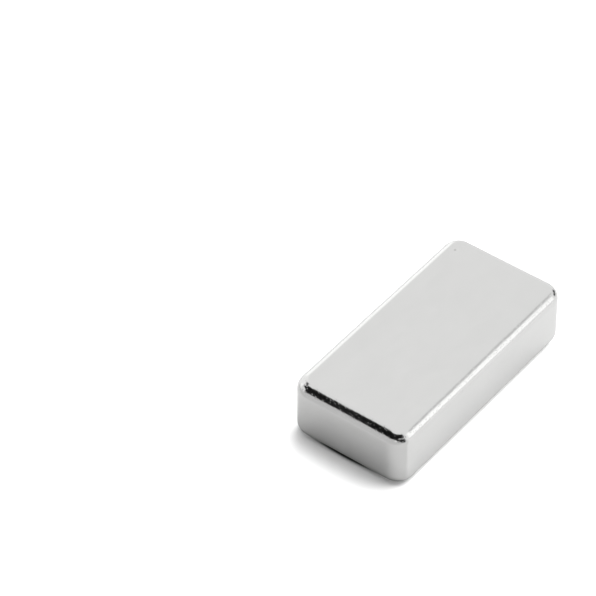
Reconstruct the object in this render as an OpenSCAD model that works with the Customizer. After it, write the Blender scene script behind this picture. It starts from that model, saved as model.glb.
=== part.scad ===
// Block magnet: one sintered neodymium block with a bright nickel skin.
// The block was pressed, sintered, ground to size, tumbled and plated, so its
// six faces are flat, its long edges are rolled over and its four upright
// corners are rounder than its edges.
// Millimetres. The origin is the middle of the bottom face. X runs along the
// length, Y across the width and Z through the thickness, which is also the
// way the block is magnetised: the top and bottom faces are its two poles.

/* [Block] */
// Length of the block, along X
block_length = 20; // [8:0.5:60]
// Width of the block, along Y
block_width = 10; // [6:0.5:40]
// Thickness of the block between its two pole faces, along Z
block_thickness = 5; // [2.5:0.25:20]

/* [Tumbled edges] */
// Radius of the four upright corners, seen from above
corner_radius = 1.4; // [1.2:0.05:2.5]
// Radius that rolls the top and bottom edges over into the sides
edge_radius = 0.9; // [0.2:0.05:1.15]

/* [Smoothness] */
// Number of segments that a full circle is drawn with
round_segments = 64; // [24:8:160]

/* [Hidden] */
$fn = round_segments;
// Bright nickel, as it looks under a white room
nickel_colour = "#dadad8";
// Distances between the centres of the upright corners
corner_span_x = block_length - 2 * corner_radius;
corner_span_y = block_width - 2 * corner_radius;

// A flat rectangle standing in the XY plane on the X axis, with all four
// corners rolled by the edge radius: the section of the block across one side
module rolled_section(section_width) {
    flat_width = section_width - 2 * edge_radius;
    flat_height = block_thickness - 2 * edge_radius;
    translate([-flat_width / 2, 0])
        square([flat_width, block_thickness]);
    translate([-section_width / 2, edge_radius])
        square([section_width, flat_height]);
    for (side = [-1, 1], level = [edge_radius, block_thickness - edge_radius])
        translate([side * flat_width / 2, level])
            circle(r = edge_radius);
}

// A straight bar of that section, centred on the origin and lying along X
module rolled_bar(bar_length, section_width) {
    rotate([90, 0, 90])
        translate([0, 0, -bar_length / 2])
            linear_extrude(height = bar_length)
                rolled_section(section_width);
}

// The half of a corner's section that is turned about the corner's own axis:
// a rectangle whose two outer corners are rolled by the edge radius
module corner_profile() {
    flat_radius = corner_radius - edge_radius;
    square([flat_radius, block_thickness]);
    translate([0, edge_radius])
        square([corner_radius, block_thickness - 2 * edge_radius]);
    for (level = [edge_radius, block_thickness - edge_radius])
        translate([flat_radius, level])
            intersection() {
                circle(r = edge_radius);
                translate([0, -edge_radius])
                    square([edge_radius, 2 * edge_radius]);
            }
}

// One upright corner: a round pillar whose rims are rolled like the edges, so
// that the roll runs round the corner as a quarter of a torus
module rolled_corner() {
    rotate_extrude()
        corner_profile();
}

// The whole magnet. Two bars cross, one as long as the block and one as wide,
// and a pillar fills each of the four corners that they leave open.
module magnet_block() {
    color(nickel_colour)
        union() {
            rolled_bar(corner_span_x, block_width);
            rotate([0, 0, 90])
                rolled_bar(corner_span_y, block_length);
            for (x = [-1, 1], y = [-1, 1])
                translate([x * corner_span_x / 2, y * corner_span_y / 2, 0])
                    rolled_corner();
        }
}

magnet_block();
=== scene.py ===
# %% [markdown]
# A block magnet, dressed and lit
#
# The object is a small neodymium block magnet, 20 x 10 x 5 mm. Its powder was pressed and
# sintered into a blank, ground to size, tumbled with stones until every edge was rolled over,
# and plated with bright nickel. It has one piece and one finish, so the whole picture lives in
# two things: how exactly the rolled edges are curved, and what the nickel mirrors.
# Everything is in metres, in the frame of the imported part: X along the length, Y across the
# width, Z up, and the origin in the middle of the bottom face.

import bpy
import numpy as np
from mathutils import Matrix, Vector


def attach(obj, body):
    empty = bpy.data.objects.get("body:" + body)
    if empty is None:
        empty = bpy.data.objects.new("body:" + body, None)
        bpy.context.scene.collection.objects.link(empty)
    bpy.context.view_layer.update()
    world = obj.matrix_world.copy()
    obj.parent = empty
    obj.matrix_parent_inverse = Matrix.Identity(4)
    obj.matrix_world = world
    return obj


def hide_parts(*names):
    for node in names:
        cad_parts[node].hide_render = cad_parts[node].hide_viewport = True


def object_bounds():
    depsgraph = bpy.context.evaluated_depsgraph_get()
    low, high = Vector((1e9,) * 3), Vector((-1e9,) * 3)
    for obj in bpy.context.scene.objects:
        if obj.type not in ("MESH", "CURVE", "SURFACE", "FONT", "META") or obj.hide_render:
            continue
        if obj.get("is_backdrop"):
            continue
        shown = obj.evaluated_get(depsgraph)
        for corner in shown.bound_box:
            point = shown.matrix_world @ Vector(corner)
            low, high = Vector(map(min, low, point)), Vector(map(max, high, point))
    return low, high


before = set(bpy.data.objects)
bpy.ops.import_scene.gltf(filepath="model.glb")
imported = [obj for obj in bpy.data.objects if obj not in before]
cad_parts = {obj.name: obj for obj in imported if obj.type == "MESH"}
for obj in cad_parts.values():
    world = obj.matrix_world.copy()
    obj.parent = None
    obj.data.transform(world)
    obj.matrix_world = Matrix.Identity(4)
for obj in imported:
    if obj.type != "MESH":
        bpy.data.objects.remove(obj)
cad_low, cad_high = (list(corner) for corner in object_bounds())
print("CAD box in mm:", [round(1000 * v, 3) for v in cad_low + cad_high])

# %% [markdown]
# Units and two helpers
#
# Real sizes are written in millimetres and multiplied by MM. Colours are written as the sRGB
# hex values that a colour picker shows, but a shader mixes light in linear values, so one
# function turns them. A material is a graph of nodes, and one small function adds a node with
# its settings, its fixed values and its links, which keeps each material short enough to read.

# %% Units, colour and node helpers
MM = 0.001


def linear(hex_colour):
    """A hex sRGB colour as linear RGBA: each channel is undone by the sRGB curve."""
    value = np.array([int(hex_colour[i : i + 2], 16) for i in (1, 3, 5)]) / 255
    undone = np.where(value <= 0.04045, value / 12.92, ((value + 0.055) / 1.055) ** 2.4)
    return (*undone.tolist(), 1.0)


def add(tree, kind, values=None, links=None, **settings):
    """Adds one node: settings are its own options, values fill sockets and links feed them."""
    node = tree.nodes.new(kind)
    for name, value in settings.items():
        setattr(node, name, value)
    for socket, value in (values or {}).items():
        node.inputs[socket].default_value = value
    for socket, source in (links or {}).items():
        tree.links.new(source, node.inputs[socket])
    return node


# %% [markdown]
# The form of the block
#
# On the real block the six faces are ground flat, and tumbling has rolled the top and bottom
# edges over and rounded the upright corners a little more. Such a form could be a cube with a
# Bevel modifier, but a bevel gives one radius everywhere and uneven faces at the corners, and a
# mirror finish shows every uneven face. Here the surface is worked out on a grid instead. One
# parameter walks round the outline, seen from above. The other climbs a profile from the middle
# of the bottom face, round the lower roll, up the side, round the upper roll and to the middle
# of the top. Every point then has its exact place and its exact normal.

# %% Sizes of the block
length, width, thickness = (high - low for low, high in zip(cad_low, cad_high))
corner_radius = 1.4 * MM
edge_radius = 0.9 * MM
flat_radius = corner_radius - edge_radius
corner_x = length / 2 - corner_radius
corner_y = width / 2 - corner_radius
print("block in mm:", [round(v / MM, 3) for v in (length, width, thickness)])

# %% The outline seen from above
CORNER_STEPS = 28
STRAIGHT_STEP = 0.2 * MM


def outline_stations():
    """Corner centre and facing angle of each station round the outline, anticlockwise.

    A straight side keeps one angle while its centre slides from one corner's centre to the
    next. A corner keeps its centre while the angle turns by a quarter. A point of the block
    then lies at: centre + distance * (cos angle, sin angle).
    """
    centres, angles = [], []
    signs = [(1, -1), (1, 1), (-1, 1), (-1, -1)]
    for quarter in range(4):
        start = np.array(signs[quarter]) * (corner_x, corner_y)
        end = np.array(signs[(quarter + 1) % 4]) * (corner_x, corner_y)
        steps = int(round(np.linalg.norm(end - start) / STRAIGHT_STEP))
        share = np.arange(steps)[:, None] / steps
        centres.append(start + (end - start) * share)
        angles.append(np.full(steps, quarter * np.pi / 2))
        turn = np.arange(CORNER_STEPS) / CORNER_STEPS
        centres.append(np.repeat(end[None], CORNER_STEPS, axis=0))
        angles.append((quarter + turn) * np.pi / 2)
    return np.concatenate(centres), np.concatenate(angles)


centre, angle = outline_stations()
outward = np.stack([np.cos(angle), np.sin(angle)], axis=-1)
print("stations round the outline:", len(angle))

# %% The profile from the bottom's middle to the top's
ROLL_STEPS = 28
SIDE_STEPS = 16
FACE_SHARES = np.array([0.15, 0.4, 0.65, 0.85, 0.95, 0.985])


def profile_rows():
    """Share, distance, height and tilt of each row of the profile, from bottom to top.

    On the flat faces the whole outline shrinks by the share. On a roll the distance from the
    corner's centre is flat radius + edge radius * sin(tilt), and the height follows the cosine
    of the tilt, where the tilt is the angle of the normal from straight up.
    """
    lower = np.linspace(np.pi, np.pi / 2, ROLL_STEPS + 1)
    upper = np.linspace(np.pi / 2, 0, ROLL_STEPS + 1)
    side = np.full(SIDE_STEPS - 1, np.pi / 2)
    tilt = np.concatenate([lower, side, upper])
    roll_centre = np.concatenate(
        [
            np.full(len(lower), edge_radius),
            np.linspace(edge_radius, thickness - edge_radius, SIDE_STEPS + 1)[1:-1],
            np.full(len(upper), thickness - edge_radius),
        ]
    )
    distance = flat_radius + edge_radius * np.sin(tilt)
    height = roll_centre + edge_radius * np.cos(tilt)
    faces = len(FACE_SHARES)
    share = np.concatenate([FACE_SHARES, np.ones(len(tilt)), FACE_SHARES[::-1]])
    distance = np.concatenate([np.full(faces, flat_radius), distance, np.full(faces, flat_radius)])
    height = np.concatenate([np.zeros(faces), height, np.full(faces, thickness)])
    tilt = np.concatenate([np.full(faces, np.pi), tilt, np.zeros(faces)])
    return share, distance, height, tilt


share, distance, height, tilt = profile_rows()
print("rows of the profile:", len(share))

# %% [markdown]
# What tumbling leaves
#
# Stones knock each block a little differently, so a rolled edge is never a perfect quarter
# cylinder. Along the real block the bright line on the long edge wanders by a few hundredths of
# a millimetre. A bump map could fake that, but the line would then lie on a form that is too
# perfect in any other view. The grid is pressed in instead, by a few microns, with slow waves
# that run round the outline and fade out before the flat faces.

# %% Slow waves in the rolled edges
rng = np.random.default_rng(20)
WAVES_ROUND = np.array([5, 9, 14, 22, 31, 43])
WAVE_DEPTH = 0.010 * MM


def tumbling_depth():
    """Depth pressed into the rolls: a sum of sines round the outline, lifted to stay positive.

    Each sine has its own count of waves and phase and turns slowly with the tilt as well. The
    sum is multiplied by sin(2 * tilt) squared, which is zero on the faces and on the sides.
    """
    walked = np.concatenate([[0], np.cumsum(np.linalg.norm(np.diff(
        centre + outward * corner_radius, axis=0, append=centre[:1] + outward[:1] * corner_radius
    ), axis=1))])
    turn = 2 * np.pi * walked[:-1] / walked[-1]
    phases = rng.uniform(0, 2 * np.pi, len(WAVES_ROUND))
    twist = rng.uniform(-2, 2, len(WAVES_ROUND))
    depth = np.zeros((len(tilt), len(turn)))
    for count, phase, lean in zip(WAVES_ROUND, phases, twist):
        depth += np.sin(count * turn[None] + phase + lean * tilt[:, None]) / np.sqrt(count)
    depth = 1 + depth / np.abs(depth).max()
    return WAVE_DEPTH * depth * np.sin(2 * tilt[:, None]) ** 2


pressed = tumbling_depth()
print("deepest tumbling mark in microns:", round(float(pressed.max()) * 1e6, 2))

# %% Put the surface together
def block_surface():
    """Points of the grid: share * (centre + distance * outward), at the row's height.

    The normal is (sin tilt * outward, cos tilt), and each point is pressed in along it.
    """
    flat = share[:, None, None] * (centre[None] + distance[:, None, None] * outward[None])
    across = np.sin(tilt)[:, None, None] * outward[None]
    points = np.empty((len(share), len(angle), 3))
    points[..., :2] = flat - pressed[..., None] * across
    points[..., 2] = height[:, None] - pressed * np.cos(tilt)[:, None]
    return points


def closed_mesh(name, points):
    """A mesh from a grid that closes on itself sideways, with one vertex at each pole."""
    rows, columns = points.shape[:2]
    poles = np.array([[0, 0, points[0, 0, 2]], [0, 0, points[-1, 0, 2]]])
    vertices = np.concatenate([points.reshape(-1, 3), poles])
    number = np.arange(rows * columns).reshape(rows, columns)
    right = np.roll(number, -1, axis=1)
    quads = np.stack([number[:-1], right[:-1], right[1:], number[1:]], axis=-1).reshape(-1, 4)
    bottom, top = len(vertices) - 2, len(vertices) - 1
    low_fan = np.stack([np.full(columns, bottom), right[0], number[0]], axis=-1)
    high_fan = np.stack([np.full(columns, top), number[-1], right[-1]], axis=-1)
    mesh = bpy.data.meshes.new(name)
    mesh.from_pydata(vertices.tolist(), [], quads.tolist() + low_fan.tolist() + high_fan.tolist())
    mesh.shade_smooth()
    return mesh


def mark_tumbled(mesh):
    """Stores how far each vertex lies in a roll: 0 on the ground faces and sides, 1 between."""
    depth = np.clip(1.6 * np.sin(2 * tilt) ** 2, 0, 1)
    per_vertex = np.concatenate([np.repeat(depth, len(angle)), [0, 0]])
    mesh.attributes.new("tumbled", "FLOAT", "POINT").data.foreach_set("value", per_vertex)


block = bpy.data.objects.new("plated_block", closed_mesh("plated_block", block_surface()))
mark_tumbled(block.data)
bpy.context.scene.collection.objects.link(block)
print("plated_block faces:", len(block.data.polygons))

# %% [markdown]
# Bright nickel plating
#
# The skin is nickel, copper and nickel again, some 15 microns in all, laid down in a bath with
# brighteners that level it to a mirror. A metal has no colour of its own beside its mirror
# colour, so the shader is fully metallic, keeps the default IOR and takes nickel's slightly
# warm grey as base colour. A perfect mirror would look like chrome on glass, and real plating on
# a tumbled block isn't that flat: it has an orange peel a tenth of a millimetre across, a
# roughness that drifts where fingers and trays have touched it, and a few pores that the
# sintered grain underneath leaves open. The peel is what breaks the border of a dark
# reflection into fine teeth.

# %% Sizes and colours of the plating
NICKEL_LIGHT = "#dadad9"
NICKEL_DEEP = "#d3d3d2"
PORE_GREY = "#77756f"
PEEL_MM = 0.2
PEEL_DEPTH_MM = 0.0009
TUMBLED_DEPTH_MM = 0.0075
CHIP_SPACING_MM = 0.2
CHIP_RADIUS_MM = 0.062
CHIP_DEPTH_MM = 0.0092
SMUDGE_MM = 1.5
SMUDGE_STRETCH = 0.6
PORE_SPACING_MM = 2.6
PORE_RADIUS_MM = 0.06
OPEN_PORE_MM = (8.23, 3.68, 5.0)
OPEN_PORE_RADIUS_MM = 0.14


def per_metre(size_mm):
    """The texture scale at which one cell of a pattern is that many millimetres."""
    return 1 / (size_mm * MM)


# %% The plating's material
def bright_nickel():
    """Metallic shader with drifting roughness, open pores and a fine orange peel."""
    material = bpy.data.materials.new("bright_nickel_plating")
    material.use_nodes = True
    tree = material.node_tree
    tree.nodes.clear()
    place = add(tree, "ShaderNodeTexCoord").outputs["Object"]
    drawn_out = add(
        tree, "ShaderNodeMapping", values={"Scale": (SMUDGE_STRETCH, 1.0, 1.0)}, links={"Vector": place}
    ).outputs["Vector"]
    smudge = add(
        tree, "ShaderNodeTexNoise",
        values={"Scale": per_metre(SMUDGE_MM), "Detail": 5.0, "Roughness": 0.6, "Distortion": 0.6},
        links={"Vector": drawn_out},
    ).outputs["Fac"]
    tone = add(
        tree, "ShaderNodeMix", data_type="RGBA",
        values={"A": linear(NICKEL_DEEP), "B": linear(NICKEL_LIGHT)},
        links={"Factor": smudge},
    ).outputs[2]
    cell = add(
        tree, "ShaderNodeTexVoronoi",
        values={"Scale": per_metre(PORE_SPACING_MM), "Randomness": 1.0},
        links={"Vector": place},
    )
    pore = add(
        tree, "ShaderNodeMapRange", interpolation_type="SMOOTHSTEP",
        values={
            "From Min": PORE_RADIUS_MM / PORE_SPACING_MM,
            "From Max": 0.4 * PORE_RADIUS_MM / PORE_SPACING_MM,
            "To Min": 0.0, "To Max": 0.6,
        },
        links={"Value": cell.outputs["Distance"]},
    ).outputs["Result"]
    from_open_pore = add(
        tree, "ShaderNodeVectorMath", operation="DISTANCE",
        values={1: [v * MM for v in OPEN_PORE_MM]}, links={0: place},
    ).outputs["Value"]
    open_pore = add(
        tree, "ShaderNodeMapRange", interpolation_type="SMOOTHSTEP",
        values={"From Min": OPEN_PORE_RADIUS_MM * MM, "From Max": 0.0, "To Max": 0.45},
        links={"Value": from_open_pore},
    ).outputs["Result"]
    pores = add(
        tree, "ShaderNodeMath", operation="MAXIMUM", links={0: pore, 1: open_pore}
    ).outputs[0]
    colour = add(
        tree, "ShaderNodeMix", data_type="RGBA",
        values={"B": linear(PORE_GREY)},
        links={"Factor": pores, "A": tone},
    ).outputs[2]
    roughness = add(
        tree, "ShaderNodeMapRange",
        values={"From Min": 0.35, "From Max": 0.7, "To Min": 0.12, "To Max": 0.165},
        links={"Value": smudge},
    ).outputs["Result"]
    peel = add(
        tree, "ShaderNodeTexNoise",
        values={"Scale": per_metre(PEEL_MM), "Detail": 2.0, "Roughness": 0.55},
        links={"Vector": place},
    ).outputs["Fac"]
    tumbled = add(tree, "ShaderNodeAttribute", attribute_name="tumbled").outputs["Fac"]
    depth = add(
        tree, "ShaderNodeMapRange",
        values={"To Min": PEEL_DEPTH_MM * MM, "To Max": TUMBLED_DEPTH_MM * MM},
        links={"Value": tumbled},
    ).outputs["Result"]
    rippled = add(tree, "ShaderNodeMath", operation="MULTIPLY", links={0: peel, 1: depth}).outputs[0]
    nearest = add(
        tree, "ShaderNodeTexVoronoi",
        values={"Scale": per_metre(CHIP_SPACING_MM), "Randomness": 1.0}, links={"Vector": place},
    ).outputs["Distance"]
    chip = add(
        tree, "ShaderNodeMapRange", interpolation_type="SMOOTHSTEP",
        values={
            "From Min": CHIP_RADIUS_MM / CHIP_SPACING_MM, "From Max": 0.0,
            "To Min": 0.0, "To Max": -CHIP_DEPTH_MM * MM,
        },
        links={"Value": nearest},
    ).outputs["Result"]
    height = add(
        tree, "ShaderNodeMath", operation="MULTIPLY_ADD", links={0: chip, 1: tumbled, 2: rippled}
    ).outputs[0]
    bump = add(
        tree, "ShaderNodeBump", values={"Strength": 1.0, "Distance": 1.0}, links={"Height": height}
    ).outputs["Normal"]
    shader = add(
        tree, "ShaderNodeBsdfPrincipled",
        values={"Metallic": 1.0},
        links={"Base Color": colour, "Roughness": roughness, "Normal": bump},
    ).outputs["BSDF"]
    add(tree, "ShaderNodeOutputMaterial", links={"Surface": shader})
    return material


block.data.materials.append(bright_nickel())
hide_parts("magnet_block")
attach(block, "root")
print("materials:", [m.name for m in bpy.data.materials])

# %% [markdown]
# The paper under the block
#
# A product photograph is exposed until its white paper is well over white, so a shadow on it
# shows only where it is deep. The block mirrors the same paper, and there it looks a good deal
# darker. One plane can't be both, so the paper is laid twice: a light sheet that the camera
# sees, and a greyer one that only reflections see. Both take the same light and shadow.

# %% Two sheets of paper
PAPER_HALF = 3.0
PAPER_GAP = 0.02 * MM
SEEN_WHITE = "#e9e9e9"
# painted light and shade on the mirrored sheet: the lighter tone beside and behind the block, a painted
# shade just in front of the near end, and darker still further out in front of it
MIRRORED_WHITE = "#adadad"
MIRRORED_SHADE = "#9d9d9d"
MIRRORED_DIM = "#8e8e8e"
# near-black, used for the painted contact shadow on both sheets and as the flag's own colour
PAINTED_SHADOW_AND_FLAG_BLACK = "#0b0b0b"
# centre, half axes and the share of them that keeps the full tone
LIT_STRIP = ((90.0, 0.0), (99.7, 1e6), 0.99)
DIM_STRIP = ((-90.0, 0.0), (76.8, 1e6), 0.92)
# painted shadow: a near-black ellipse on both sheets, hidden just under the near end's lower roll, that
# paints the dark contact line there
PAINTED_CONTACT_SHADOW = ((-9.22, 0.45), (0.62, 4.5), 0.6)


def ellipse_share(tree, ellipse):
    """1 inside an ellipse on the paper and 0 outside it, with a soft edge.

    The place is moved to the centre and divided by the half axes, so that its length is 1 on
    the ellipse. A half axis of 1e6 mm makes the ellipse a strip.
    """
    (centre_x, centre_y), (half_x, half_y), inner = ellipse
    place = add(tree, "ShaderNodeTexCoord").outputs["Object"]
    scaled = add(
        tree, "ShaderNodeMapping", vector_type="TEXTURE",
        values={
            "Location": (centre_x * MM, centre_y * MM, 0.0),
            "Scale": (half_x * MM, half_y * MM, 1.0),
        },
        links={"Vector": place},
    ).outputs["Vector"]
    reach = add(tree, "ShaderNodeVectorMath", operation="LENGTH", links={0: scaled}).outputs["Value"]
    return add(
        tree, "ShaderNodeMapRange", interpolation_type="SMOOTHSTEP",
        values={"From Min": 1.0, "From Max": inner}, links={"Value": reach},
    ).outputs["Result"]


def matt_paper(name, hex_colour, ellipses=()):
    """A matt colour that mirrors nothing, with each ellipse's own colour laid over it."""
    material = bpy.data.materials.new(name)
    material.use_nodes = True
    tree = material.node_tree
    tree.nodes.clear()
    shader = add(
        tree, "ShaderNodeBsdfPrincipled",
        values={"Base Color": linear(hex_colour), "Roughness": 1.0, "Specular IOR Level": 0.0},
    )
    before = None
    for ellipse, ellipse_colour in ellipses:
        tone = add(
            tree, "ShaderNodeMix", data_type="RGBA",
            values={"A": linear(hex_colour), "B": linear(ellipse_colour)},
            links={"Factor": ellipse_share(tree, ellipse)},
        )
        if before:
            tree.links.new(before, tone.inputs["A"])
        before = tone.outputs[2]
    if before:
        tree.links.new(before, shader.inputs["Base Color"])
    add(tree, "ShaderNodeOutputMaterial", links={"Surface": shader.outputs["BSDF"]})
    return material


def sheet_of_paper(name, material, level):
    """A square sheet at a level, that casts no shadow on the sheet below it."""
    mesh = bpy.data.meshes.new(name)
    corners = np.array([(-1, -1), (1, -1), (1, 1), (-1, 1)]) * PAPER_HALF
    mesh.from_pydata([(x, y, level) for x, y in corners.tolist()], [], [(0, 1, 2, 3)])
    mesh.materials.append(material)
    sheet = bpy.data.objects.new(name, mesh)
    bpy.context.scene.collection.objects.link(sheet)
    sheet.visible_shadow = False
    sheet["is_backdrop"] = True
    return sheet


# the seen sheet carries the painted contact shadow under the near end
seen_white = matt_paper("seen_paper", SEEN_WHITE, [(PAINTED_CONTACT_SHADOW, PAINTED_SHADOW_AND_FLAG_BLACK)])
seen_paper = sheet_of_paper("seen_paper", seen_white, -PAPER_GAP)
seen_paper.visible_glossy = False

# the mirrored sheet's painted tones: lighter beside and behind the block, painted shade in front of the
# near end, and the painted contact shadow
tones = [(LIT_STRIP, MIRRORED_WHITE), (DIM_STRIP, MIRRORED_DIM), (PAINTED_CONTACT_SHADOW, PAINTED_SHADOW_AND_FLAG_BLACK)]
mirrored_white = matt_paper("mirrored_paper", MIRRORED_SHADE, tones)
mirrored_paper = sheet_of_paper("mirrored_paper", mirrored_white, 0.0)
mirrored_paper.visible_camera = False
mirrored_paper.visible_diffuse = False

# %% [markdown]
# A black flag
#
# In the picture the black band along the near top edge widens where it goes round the near
# corner. Photographers get such a dark accent with a flag, a small black card close by. This
# one stands in front of the corner, slanted, and only the mirror sees it.

# %% The flag in front of the near corner
FLAG_FACING = 229
FLAG_AWAY_MM = 14.0
FLAG_HALF_WIDTH_MM = 7.0
FLAG_HEIGHT_MM = 12.0
FLAG_SLANT_MM = 7.0

way = np.radians(FLAG_FACING)
foot = np.array([-length / 2, -width / 2]) / MM
foot += FLAG_AWAY_MM * np.array([np.cos(way), np.sin(way)])
aside = FLAG_HALF_WIDTH_MM * np.array([-np.sin(way), np.cos(way)])
flag_corners = [
    (*(foot + aside), 0),
    (*(foot - aside), FLAG_SLANT_MM),
    (*(foot - aside), FLAG_HEIGHT_MM),
    (*(foot + aside), FLAG_HEIGHT_MM),
]
flag_mesh = bpy.data.meshes.new("black_flag")
flag_mesh.from_pydata((np.array(flag_corners) * MM).tolist(), [], [(0, 1, 2, 3)])
flag_mesh.materials.append(matt_paper("black_flag", PAINTED_SHADOW_AND_FLAG_BLACK))
flag = bpy.data.objects.new("black_flag", flag_mesh)
bpy.context.scene.collection.objects.link(flag)
flag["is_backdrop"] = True
flag.visible_camera = False
flag.visible_diffuse = False
flag.visible_shadow = False

# %% [markdown]
# The studio round it
#
# What a mirror shows is the room. The picture's white top, its black band on the near short
# edge and its burning line on the long edge say what that room was: white all round and
# overhead, brighter at the back left and on the right, and dark only where the camera and its
# operator stand. Lamps and cards could stand there, but they would block the other views. The
# room is painted on the sky instead, as soft-edged panels set by compass angle and height.

# %% The room as a sky of soft panels
ROOM_WHITE = 1.02
PAPER_FILL = 1.5
WHITE = (1.0, 1.0, 1.0, 1.0)


def degrees_to_radians(*angles):
    """Angles in degrees as a tuple of radians."""
    return tuple(float(np.radians(a)) for a in angles)


def panel(tree, direction, before, facing, half_width, low, high, soft, level):
    """Mixes a panel over what is before it, and returns the new brightness.

    The direction is turned until the panel's middle lies on the X axis. Its share is then one
    where the compass angle is inside the half width and the height is between low and high,
    and it fades to zero over the soft angle.
    """
    turned = add(
        tree, "ShaderNodeVectorRotate", rotation_type="Z_AXIS",
        values={"Angle": -np.radians(facing)}, links={"Vector": direction},
    ).outputs["Vector"]
    parts = add(tree, "ShaderNodeSeparateXYZ", links={"Vector": turned}).outputs
    compass = add(tree, "ShaderNodeMath", operation="ARCTAN2", links={0: parts["Y"], 1: parts["X"]})
    aside = add(tree, "ShaderNodeMath", operation="ABSOLUTE", links={0: compass.outputs[0]}).outputs[0]
    climb = add(tree, "ShaderNodeMath", operation="ARCSINE", links={0: parts["Z"]}).outputs[0]
    fades = [
        (aside, half_width + soft / 2, half_width - soft / 2),
        (climb, low - soft / 2, low + soft / 2),
        (climb, high + soft / 2, high - soft / 2),
    ]
    share = None
    for source, start, end in fades:
        start, end = degrees_to_radians(start, end)
        fade = add(
            tree, "ShaderNodeMapRange", interpolation_type="SMOOTHSTEP",
            values={"From Min": start, "From Max": end}, links={"Value": source},
        ).outputs["Result"]
        if share is not None:
            fade = add(tree, "ShaderNodeMath", operation="MULTIPLY", links={0: share, 1: fade}).outputs[0]
        share = fade
    return add(
        tree, "ShaderNodeMix", data_type="FLOAT",
        values={3: level}, links={0: share, 2: before},
    ).outputs[0]


world = bpy.data.worlds.new("white_room")
bpy.context.scene.world = world
world.use_nodes = True
sky = world.node_tree
sky.nodes.clear()
direction = add(sky, "ShaderNodeTexCoord").outputs["Generated"]
light = add(sky, "ShaderNodeValue").outputs[0]
light.default_value = ROOM_WHITE
# facing, half width, low, high, soft edge and brightness of each panel
PANELS = {
    "back_left_wall": (90, 44, -25, 46, 14, 1.15),
    "back_left_strip": (51, 7, -25, 27, 18, 1.5),
    "left_corner_strip": (102, 8, 8, 24, 6, 1.35),
    "right_wall": (-78, 30, 5, 44, 9, 1.1),
    "right_strip": (-54, 5.5, 5, 27, 5, 1.53),
    "right_strip_top": (-48, 4, 22, 31, 6, 1.5),
    "corner_strip": (-70, 11, 8, 44, 8, 1.45),
    "seam_over_strip": (-36, 15, 36, 46, 6, 0.7),
    "left_wall": (160, 40, -25, 20, 10, 0.68),
    "gap_over_wall": (91, 19, 47, 58, 4, 0.02),
    "doorway": (-17, 14.5, -8, 17, 4, 0.005),
    "dark_camera_side": (182, 72, 17, 63, 5, 0.005),
    "pale_left_of_camera": (125, 16, 8, 31, 5, 0.95),
    "pale_right_of_camera": (240, 23, 8, 31, 5, 0.95),
}
for name, (facing, half_width, low, high, soft, level) in PANELS.items():
    light = panel(sky, direction, light, facing, half_width, low, high, soft, level)
    print("panel", name, "brightness", level)
rays = add(sky, "ShaderNodeLightPath").outputs
filled = add(
    sky, "ShaderNodeMapRange", values={"To Min": 1.0, "To Max": PAPER_FILL},
    links={"Value": rays["Is Diffuse Ray"]},
).outputs["Result"]
strength = add(sky, "ShaderNodeMath", operation="MULTIPLY", links={0: light, 1: filled}).outputs[0]
room = add(sky, "ShaderNodeBackground", values={"Color": WHITE}, links={"Strength": strength})
backdrop = add(sky, "ShaderNodeBackground", values={"Color": WHITE, "Strength": 1.1})
mixed = add(
    sky, "ShaderNodeMixShader",
    links={0: rays["Is Camera Ray"], 1: room.outputs[0], 2: backdrop.outputs[0]},
)
add(sky, "ShaderNodeOutputWorld", links={"Surface": mixed.outputs[0]})

# %% [markdown]
# The key light
#
# The shadow in the picture lies only in front of the near short end, so the strongest light
# comes from behind the far end and a little from the right. It is a broad softbox high up. It
# lights the paper alone, because its mirror image in the block is already in the room's sky.

# %% The key light on the paper
KEY_FACING = -16
KEY_HEIGHT = 58
KEY_SOFTNESS = 58
KEY_STRENGTH = 5.4

key_data = bpy.data.lights.new("key_softbox", "SUN")
key_data.energy = KEY_STRENGTH
key_data.angle = float(np.radians(KEY_SOFTNESS))
key = bpy.data.objects.new("key_softbox", key_data)
key.visible_glossy = False
facing, climb = degrees_to_radians(KEY_FACING, KEY_HEIGHT)
towards_key = Vector((np.cos(facing) * np.cos(climb), np.sin(facing) * np.cos(climb), np.sin(climb)))
key.rotation_euler = towards_key.to_track_quat("Z", "Y").to_euler()
bpy.context.scene.collection.objects.link(key)
print("key light from", [round(v, 2) for v in towards_key])

# %% [markdown]
# The camera
#
# The photograph was taken from far off with a long lens, looking down at about 43 degrees, from
# the block's near short end and right long side. Place, aim and lens were worked out from the
# block's edges in the picture.

# %% Place and aim the camera
CAMERA_MM = (-145.55, -102.0, 176.48)
AIM_MM = (1.33, 12.98, 0.0)
ROLL_DEGREES = -0.513
LENS_MM = 207.99

camera_data = bpy.data.cameras.new("camera")
camera_data.lens = LENS_MM
camera_data.sensor_width = 36.0
camera_data.clip_start = 0.01
camera = bpy.data.objects.new("camera", camera_data)
bpy.context.scene.collection.objects.link(camera)
place = Vector(CAMERA_MM) * MM
ahead = (Vector(AIM_MM) * MM - place).normalized()
across = ahead.cross(Vector((0, 0, 1))).normalized()
above = across.cross(ahead)
roll = float(np.radians(ROLL_DEGREES))
rolled = np.cos(roll) * across + np.sin(roll) * above
upright = np.cos(roll) * above - np.sin(roll) * across
camera.matrix_world = Matrix.Translation(place) @ Matrix((rolled, upright, -ahead)).transposed().to_4x4()
bpy.context.scene.camera = camera
bpy.context.scene.view_settings.view_transform = "Standard"
print("camera to aim in mm:", round((Vector(AIM_MM) - Vector(CAMERA_MM)).length, 1))
